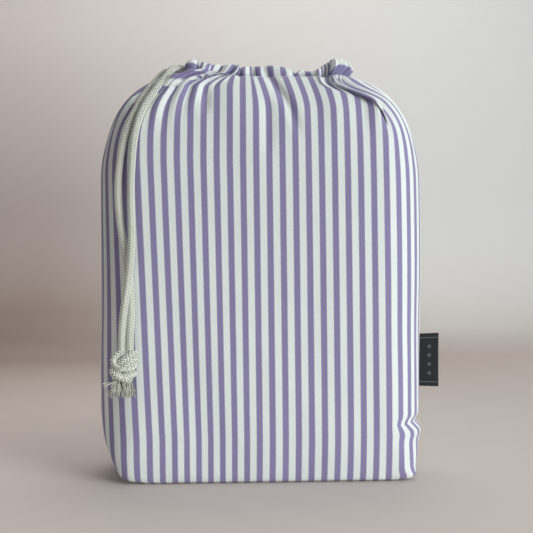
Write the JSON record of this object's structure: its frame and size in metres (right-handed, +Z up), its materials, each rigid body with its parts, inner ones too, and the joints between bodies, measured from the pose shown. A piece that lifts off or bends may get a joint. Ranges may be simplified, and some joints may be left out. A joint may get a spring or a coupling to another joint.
{
  "type": "laundry bag",
  "caption": "Filled drawstring laundry bag in striped cotton ticking, gathered mouth with a turned casing, knotted braided cord at one side and a folded side label.",
  "frame": {"origin": "on the floor, in the middle of the bag's flat base", "axes": "+Z up, front with the knotted cord towards -Y, side label towards +X"},
  "size_m": [0.3201, 0.12, 0.384],
  "materials": {
    "ticking": "matte woven cotton ticking, purple and white stripes",
    "thread": "matte sewing thread",
    "cord": "matte braided cotton cord",
    "label": "black woven ribbon",
    "linen": "plain washed linen"
  },
  "bodies": {
    "bag": {"front_panel": "ticking", "back_panel": "ticking", "left_seam": "ticking", "right_seam": "ticking", "bottom_seam": "ticking", "casing_front": "ticking", "casing_back": "ticking", "casing_stitching": "thread", "exit_bar_tack": "thread", "drawstring_loop": "cord", "laundry_fill": "linen"},
    "drawstring": {"cord_neck_front": "cord", "cord_neck_rear": "cord"},
    "free_ends": {"cord_tail_front": "cord", "cord_tail_rear": "cord", "cord_knot": "cord", "frayed_end_front": "cord", "frayed_end_rear": "cord"},
    "label": {"side_label": "label"}
  },
  "joints": [
    {"name": "drawstring_pull", "type": "slide", "parent": "bag", "child": "drawstring", "axis": [-1, 0, 0], "range_m": [0, 0.03]},
    {"name": "free_ends_swing", "type": "hinge", "parent": "drawstring", "child": "free_ends", "pos_m": [-0.1045, -0.0435, 0.347], "axis": [-0.8889, 0.4581, 0], "range_deg": [0, 70]},
    {"name": "label_bend", "type": "hinge", "parent": "bag", "child": "label", "pos_m": [0.1511, 0, 0.102], "axis": [0, 0, 1], "range_deg": [-70, 70], "stiffness_Nm_per_rad": 0.0005}
  ]
}
